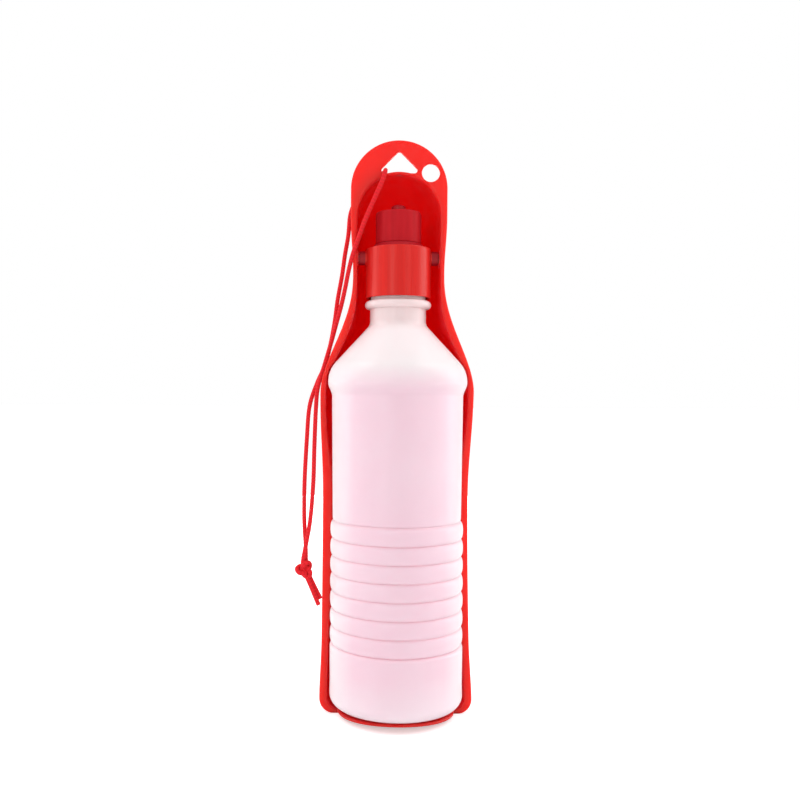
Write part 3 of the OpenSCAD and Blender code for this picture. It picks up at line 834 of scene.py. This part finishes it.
def tray_ledge():
    """Ledge under the bottle, curved about the pivot axis, with a rounded front edge."""
    columns, edge_round, rows = 96, 0.6, 10
    radius = LEDGE_R
    loops = []
    for k in range(columns + 1):
        a = pi * k / columns
        edge = Vector((radius * cos(a), -radius * sin(a), 0))
        root = Vector((edge.x * (1 - edge_round / radius), LEDGE_ROOT, 0))
        loop = []
        inner = edge * (1 - edge_round / radius)
        for i in range(rows + 1):
            p = root.lerp(inner, i / rows)
            p.z = PIVOT_Z - sqrt(LEDGE_TOP_R ** 2 - p.y ** 2)
            loop.append(p)
        turns = 8
        for i in range(1, turns):
            b = pi * i / turns
            share = 1 - edge_round * (1 - sin(b)) / radius
            p = edge * share
            arc_r = LEDGE_TOP_R + LEDGE_T / 2 * (1 - cos(b))
            p.z = PIVOT_Z - sqrt(arc_r ** 2 - p.y ** 2)
            loop.append(p)
        for i in range(rows + 1):
            p = inner.lerp(root, i / rows)
            p.z = PIVOT_Z - sqrt((LEDGE_TOP_R + LEDGE_T) ** 2 - p.y ** 2)
            loop.append(p)
        loops.append(loop)
    points = [p for loop in loops for p in loop]
    return new_mesh("ledge", points, ring_stack(loops))


def cylinder_x(name, radius, start, end, z, steps=64):
    """A cylinder along X, from start to end at height z."""
    turns = [2 * pi * i / steps for i in range(steps)]
    rings = [[(x, radius * cos(a), z + radius * sin(a)) for a in turns] for x in (start, end)]
    return new_mesh(name, [p for ring in rings for p in ring], ring_stack(rings))


def triangle_outline(grow):
    """Outline of the hanging hole, grown by a distance. Its lower edge follows the cavity's arch."""
    r = TRIANGLE_CORNER_R + grow
    top = TRIANGLE_Z + TRIANGLE_H
    centres = [(-TRIANGLE_HALF_W, TRIANGLE_Z), (TRIANGLE_HALF_W, TRIANGLE_Z), (0, top)]
    slope = atan2(TRIANGLE_H, TRIANGLE_HALF_W)
    spans = [(pi / 2 + slope, 1.5 * pi), (-0.5 * pi, pi / 2 - slope), (pi / 2 - slope, pi / 2 + slope)]
    corner_steps, base_steps = 12, 24
    points = []
    for (x, z), (first, last) in zip(centres, spans):
        for i in range(corner_steps + 1):
            a = first + (last - first) * i / corner_steps
            points.append((x + r * cos(a), z + r * sin(a)))
        if x < 0:
            points.extend((x + 2 * TRIANGLE_HALF_W * i / base_steps, z - r) for i in range(1, base_steps))
    arch = WAIST_IN + WEB + 0.15 - grow
    return [(x, max(z, ARCH_Z + sqrt(arch * arch - x * x)) if z < TRIANGLE_Z else z) for x, z in points]


def eye_outline(grow):
    """Outline of the round hole, grown by a distance."""
    r, steps = EYE_R + grow, 64
    turns = [2 * pi * i / steps for i in range(steps)]
    return [(EYE_X + r * cos(a), EYE_Z + r * sin(a)) for a in turns]


def plate_cutter(name, outline):
    """Cuts a hole of an outline through the head plate, with rounded edges on both faces."""
    edge, steps, front, back = 0.45, 5, -HEAD_FRONT, -HEAD_FRONT + LIP_T
    places = [(front - 1, edge)]
    places += [(front + edge * i / steps, edge * (1 - sqrt(1 - (1 - i / steps) ** 2)))
               for i in range(steps + 1)]
    places += [(back - edge + edge * i / steps, edge * (1 - sqrt(1 - (i / steps) ** 2)))
               for i in range(steps + 1)]
    places += [(back + 1.5, edge)]
    rings = [[(x, y, z) for x, z in outline(grow)] for y, grow in places]
    return new_mesh(name, [p for ring in rings for p in ring], ring_stack(rings))


def mark_painted_light(piece):
    """Marks the rounded outer edge of the trough's rim for a painted highlight, and the inside of the
    trough below its head for painted light.
    """
    edge_width, edge_depth, fade = 0.9, 2.2, 40
    edges = piece.data.attributes.new("edge", "FLOAT", "POINT")
    painted_light_inside = piece.data.attributes.new("inside", "FLOAT", "POINT")
    for i, vertex in enumerate(piece.data.vertices):
        x, y, z = vertex.co / MM
        if z > HEAD_Z:
            out = HEAD_R - sqrt(x * x + (z - HEAD_Z) ** 2)
        else:
            out = rim_x(z) - corner_inset(z, CORNER_R) - abs(x)
        front = y - rim_y(min(z, HEAD_Z))
        # Share of painted highlight on the rim's rounded outer edge.
        edges.data[i].value = ease(1 - max(out, 0) / edge_width) * ease(1 - max(front, 0) / edge_depth)
        depth = max(front, 0) / (BACK_IN - rim_y(min(z, HEAD_Z)))
        within = (abs(x) / cavity_x(z)) ** SQUARENESS + depth ** SQUARENESS
        if within < 1.03 and front > 0.3 and z > FOOT_T - 0.1:
            # Painted light inside the trough, fading out towards the head.
            painted_light_inside.data[i].value = ease((ARCH_Z - z) / fade)


def make_tray(material):
    """The trough in one piece, with its ledge, pivot bosses and bores, and the holes in its head."""
    tray = tray_shell()
    bosses = [cylinder_x("boss", PIN_R + BOSS_WALL, side * (LUG_X + 0.3), side * (WAIST_X - 1), PIVOT_Z)
              for side in (-1, 1)]
    combine(tray, [tray_ledge(), *bosses], "UNION")
    bore = cylinder_x("bore", PIN_R + FIT, -WAIST_X - 2, WAIST_X + 2, PIVOT_Z)
    combine(tray, [bore, plate_cutter("triangle", triangle_outline), plate_cutter("eye", eye_outline)],
            "DIFFERENCE")
    mark_painted_light(tray)
    smooth_shade(tray)
    return dress(tray, "trough", "tray_red", material, "tray")


# ---------------------------------------------------------------- bottle

def rib_r(z):
    """Radius over the ribs: full crests with narrow grooves between them."""
    u = abs(2 * ((z - RIB_Z) / RIB_PITCH % 1) - 1)
    return BOTTLE_R - RIB_DEPTH * (0.45 * u ** 2 + 0.55 * u ** 5)


def base_profile():
    """The bottle's outside from the middle of its base up to the first rib."""
    heel = BOTTLE_R - BASE_FILLET
    band_z = BASE_Z + BASE_FILLET
    band = RIB_Z - 1.2 - band_z
    points = [(r, BASE_Z + BASE_PUSH * (1 - ease(r / BASE_PUSH_R)))
              for r in (0, 4, 8, 12, 15, 18, 20, 21.5)]
    points += [(heel - 2, BASE_Z)]
    points += [(heel + BASE_FILLET * sin(a), BASE_Z + BASE_FILLET * (1 - cos(a)))
               for a in (radians(6 * i) for i in range(1, 16))]
    points += [(BOTTLE_R - 0.2 * (1 - h) ** 2, band_z + band * h) for h in (0.25, 0.5, 0.75)]
    return points + [(BOTTLE_R, RIB_Z - 1.6), (BOTTLE_R - 0.12, RIB_Z - 1.0),
                     (BOTTLE_R - 0.45, RIB_Z - 0.4)]


def body_profile():
    """The bottle's outside from the first rib up to the end of the rounded shoulder."""
    rib_steps, plain_steps, bulge_steps = 28, 12, 16
    points = [(rib_r(RIB_Z + i * RIB_PITCH / rib_steps), RIB_Z + i * RIB_PITCH / rib_steps)
              for i in range(RIB_COUNT * rib_steps + 1)]
    points += [(PLAIN_R - 0.4, RIBS_TOP_Z + 0.35), (PLAIN_R - 0.1, RIBS_TOP_Z + 0.8)]
    points += [(PLAIN_R + (PLAIN_TOP_R - PLAIN_R) * i / plain_steps,
                PLAIN_Z + (NOTCH_Z - PLAIN_Z) * i / plain_steps)
               for i in range(plain_steps + 1)]
    points += [(between(PLAIN_TOP_R, BULGE_R, i / bulge_steps), NOTCH_Z + BULGE_RISE * i / bulge_steps)
               for i in range(1, bulge_steps + 1)]
    for i in range(bulge_steps + 1):
        a = CONE_ANGLE * i / bulge_steps
        points.append((BULGE_R - SHOULDER_ROUND * (1 - cos(a)),
                       NOTCH_Z + BULGE_RISE + BULGE_STRAIGHT + SHOULDER_ROUND * sin(a)))
    return points


def neck_profile(shoulder):
    """The bottle's outside from its shoulder, a point of the profile, up to the mouth."""
    corner = rounded((*shoulder, 0), (NECK_R + 0.1, NECK_Z + 0.1, 0), (NECK_R, RING_Z, 0), 1.6, 8)
    points = [(p.x, p.y) for p in corner]
    tip = RING_T / 2
    points += [(NECK_R + 0.02, RING_Z - 0.5), (NECK_R + 0.12, RING_Z - 0.1), (NECK_R + 0.5, RING_Z)]
    points += [(RING_R - tip + tip * sin(a), RING_Z + tip - tip * cos(a))
               for a in (radians(12 * i) for i in range(16))]
    top = NECK_R - 0.25
    points += [(top + 0.25, RING_Z + RING_T), (top, RING_Z + RING_T + 0.3)]
    for i in range(THREAD_COUNT):
        z = THREAD_Z + THREAD_PITCH * i
        points += [(top, z - 0.9), (NECK_R + 0.7, z - 0.42), (NECK_R + 0.8, z - 0.3),
                   (NECK_R + 0.8, z + 0.3), (NECK_R + 0.7, z + 0.42), (top, z + 0.9)]
    return points + [(top, NECK_TOP_Z - 0.4), (top - 0.12, NECK_TOP_Z - 0.1), (top - 0.4, NECK_TOP_Z)]


def outer_profile():
    """The bottle's outside from the middle of its base up to the mouth."""
    points = base_profile() + body_profile()
    return points + neck_profile(points[-1])


def inner_profile():
    """The bottle's inside from the mouth down to the middle of its base."""
    t = BOTTLE_WALL
    groove = BOTTLE_R - RIB_DEPTH - t
    bore = NECK_R - NECK_WALL
    points = [(bore + 0.4, NECK_TOP_Z), (bore + 0.1, NECK_TOP_Z - 0.1), (bore, NECK_TOP_Z - 0.5),
              (bore, NECK_Z), (bore + 0.5, NECK_Z - 1.2)]
    for i in range(10):
        a = CONE_ANGLE * (1 - i / 9)
        inner = SHOULDER_ROUND - t
        points.append((BULGE_R - t - inner * (1 - cos(a)),
                       NOTCH_Z + BULGE_RISE + BULGE_STRAIGHT + inner * sin(a)))
    points += [(between(PLAIN_TOP_R, BULGE_R, 1 - i / 8) - t, NOTCH_Z + BULGE_RISE * (1 - i / 8))
               for i in range(1, 9)]
    points += [(PLAIN_R - t, PLAIN_Z)]
    steps = 12
    for i in range(RIB_COUNT * steps, -1, -1):
        z = RIB_Z + i * RIB_PITCH / steps
        points.append((max(groove, rib_r(z) - t), z))
    points += [(BOTTLE_R - t, RIB_Z - 1.6), (BOTTLE_R - 0.2 - t, BASE_Z + BASE_FILLET)]
    heel = BOTTLE_R - BASE_FILLET
    curve = BASE_FILLET - t
    points += [(heel + curve * cos(a), BASE_Z + BASE_FILLET - curve * sin(a))
               for a in (radians(15 * i) for i in range(1, 7))]
    return points + [(r, BASE_Z + t + BASE_PUSH * (1 - ease(r / BASE_PUSH_R)))
                     for r in (21.5, 18, 15, 12, 8, 4, 0)]


def mark_grooves(piece):
    """Marks the bottom of each groove between the ribs, for its deeper tint, which is painted shade."""
    strength, width = 0.5, 0.5
    grooves = piece.data.attributes.new("groove", "FLOAT", "POINT")
    for vertex, mark in zip(piece.data.vertices, grooves.data):
        z = vertex.co.z / MM
        near = abs((z - RIB_Z) / RIB_PITCH - round((z - RIB_Z) / RIB_PITCH)) * RIB_PITCH
        mark.value = strength * exp(-(near / width) ** 2) if RIB_Z - 1 < z < RIBS_TOP_Z + 1 else 0


def make_bottle(material):
    """The soft bottle: one even shell, with a faint parting line from the mould."""
    parting = radians(-90 - 46)
    seam_height, seam_width = 0.05, 0.5

    def seam(a, z):
        away = min(abs((a - parting + s + pi) % (2 * pi) - pi) for s in (0, pi))
        return seam_height * exp(-(away * BOTTLE_R / seam_width) ** 2) if z > BASE_Z + 3 else 0

    bottle = turned("bottle_detail", outer_profile() + inner_profile(), steps=256, offset=seam)
    mark_grooves(bottle)
    smooth_shade(bottle, 50)
    return dress(bottle, "bottle", "milky_bottle", material, "bottle")


# ---------------------------------------------------------------- screw cap and spout

def make_cap(material):
    """Skirt, collar and stem in one turned piece, with pivot lugs, pins, the plug nub and its bridges."""
    plate_z = CAP_TOP_Z - CAP_TOP_T
    top = [(CAP_R, CAP_Z, 0.25), (CAP_R, CAP_TOP_Z, CAP_ROUND), (COLLAR_R, CAP_TOP_Z, 0.35),
           (SLEEVE_R + 0.3, CAP_TOP_Z + 2.2, 0.5), (STEM_R, CAP_TOP_Z + 2.2, 0.2), (STEM_R, BEAD_Z, 0.2),
           (BEAD_R, BEAD_Z + 0.6, 0.25), (BEAD_R, BEAD_Z + 1.6, 0.25), (STEM_R, BEAD_Z + 2.4, 0.2),
           (STEM_R, STEM_TOP_Z, 0.4), (STEM_BORE_R, STEM_TOP_Z, 0.3), (STEM_BORE_R, plate_z, 0)]
    bore = [(CAP_BORE_R, plate_z, 0)]
    for i in reversed(range(THREAD_COUNT)):
        z = THREAD_Z + (i + 0.5) * THREAD_PITCH
        bore += [(CAP_BORE_R, z + 0.7, 0), (CAP_BORE_R - 0.65, z + 0.35, 0.1),
                 (CAP_BORE_R - 0.65, z - 0.35, 0.1), (CAP_BORE_R, z - 0.7, 0)]
    bore += [(CAP_BORE_R, CAP_Z, 0.3)]
    cap = turned("screw_cap_detail", round_profile(top + bore), steps=192)
    nub = round_profile([(0.01, plate_z, 0), (NUB_R, plate_z, 0), (NUB_R, NUB_TOP_Z - 0.5, 1.9),
                         (0.01, NUB_TOP_Z, 0)], steps=8)
    tools = [turned("nub", nub, steps=96)]
    for side in (-1, 1):
        tools.append(cylinder_x("lug", LUG_R, side * (CAP_R - 0.7), side * LUG_X, PIVOT_Z))
        tools.append(cylinder_x("pin", PIN_R, side * (CAP_R - 0.5), side * PIN_END, PIVOT_Z))
    bridges, width = 3, 1.2
    for k in range(bridges):
        a = pi / 2 + 2 * pi * k / bridges
        tools.append(bridge("rib", a, NUB_R - 0.5, STEM_BORE_R + 0.5, width, plate_z + 0.01, plate_z + 4))
    combine(cap, tools, "UNION")
    smooth_shade(cap)
    return dress(cap, "cap", "cap_red", material, "screw_cap")


def bridge(name, angle, start, end, width, low, high):
    """A small rib from radius start to radius end, at an angle about the Z axis."""
    along = Vector((cos(angle), sin(angle), 0))
    aside = Vector((-sin(angle), cos(angle), 0)) * width / 2
    rings = []
    for r in (start, end):
        p = along * r
        rings.append([p - aside + Vector((0, 0, low)), p + aside + Vector((0, 0, low)),
                      p + aside + Vector((0, 0, high)), p - aside + Vector((0, 0, high))])
    return new_mesh(name, [p for ring in rings for p in ring], ring_stack(rings))


def make_sleeve(material):
    """Sliding spout sleeve, closed on the nub when it is down."""
    lip, roof = 3, 1.8
    corners = [(SLEEVE_R, SLEEVE_Z, 0.35), (SLEEVE_R, SLEEVE_TOP_Z, 1.1), (NUB_R + FIT, SLEEVE_TOP_Z, 0.4),
               (NUB_R + FIT, SLEEVE_TOP_Z - roof, 0.2), (BEAD_R + FIT, SLEEVE_TOP_Z - roof, 0.3),
               (BEAD_R + FIT, SLEEVE_Z + lip, 0.2), (STEM_R + FIT, SLEEVE_Z + lip, 0.2),
               (STEM_R + FIT, SLEEVE_Z, 0.2)]
    sleeve = turned("spout_sleeve_detail", round_profile(corners, 6), steps=160)
    smooth_shade(sleeve)
    return dress(sleeve, "spout", "spout_red", material, "spout_sleeve")


# ---------------------------------------------------------------- studio

def area_light(name, place, aim, width, height, power):
    """A rectangular light. Its place, aim and size are in metres and its power is in watts."""
    data = bpy.data.lights.new(name, "AREA")
    data.shape = "RECTANGLE"
    data.size = width
    data.size_y = height
    data.energy = power
    light = bpy.data.objects.new(name, data)
    light.location = place
    light.rotation_euler = (Vector(aim) - Vector(place)).to_track_quat("-Z", "Y").to_euler()
    bpy.context.scene.collection.objects.link(light)


def make_world():
    """White background, a little brighter to the camera than it lights the object."""
    seen, lit = 1.0, 0.7
    world = bpy.data.worlds.new("studio")
    world.use_nodes = True
    background = world.node_tree.nodes["Background"]
    background.inputs["Color"].default_value = (1, 1, 1, 1)
    rays = world.node_tree.nodes.new("ShaderNodeLightPath")
    strength = world.node_tree.nodes.new("ShaderNodeMapRange")
    strength.inputs["To Min"].default_value = lit
    strength.inputs["To Max"].default_value = seen
    world.node_tree.links.new(rays.outputs["Is Camera Ray"], strength.inputs["Value"])
    world.node_tree.links.new(strength.outputs["Result"], background.inputs["Strength"])
    bpy.context.scene.world = world


def make_studio():
    """White floor and background, with soft lights at both sides, in front, behind and above."""
    half = 60
    corners = [(-half, -half, 0), (half, -half, 0), (half, half, 0), (-half, half, 0)]
    mesh = bpy.data.meshes.new("floor")
    mesh.from_pydata(corners, [], [(0, 1, 2, 3)])
    mesh.materials.append(floor_material())
    add_piece("floor", mesh)
    make_world()
    middle = (0, 0, 0.14)
    area_light("softbox_left", (-0.9, 0.1, 0.35), middle, 0.5, 0.9, 2.2)
    area_light("softbox_right", (0.9, 0.1, 0.35), middle, 0.5, 0.9, 3)
    area_light("strip_left", (-0.38, -0.85, 0.3), middle, 0.03, 0.7, 1.2)
    area_light("strip_right", (0.5, -0.8, 0.3), middle, 0.06, 0.7, 0.6)
    area_light("back_light", (0, 0.9, 0.25), middle, 0.6, 0.6, 3)
    area_light("top_left", (-0.65, -0.09, 1.03), middle, 0.35, 0.35, 1.8)
    area_light("top_right", (0.65, -0.09, 1.03), middle, 0.35, 0.35, 1.8)
    bpy.context.scene.view_settings.view_transform = "Standard"


# ---------------------------------------------------------------- the whole object

make_camera()
make_cords(cord_material())
make_tray(tray_material())
make_bottle(bottle_material())
make_cap(cap_material())
make_sleeve(spout_material())
dress_liner(liner_material())
make_studio()
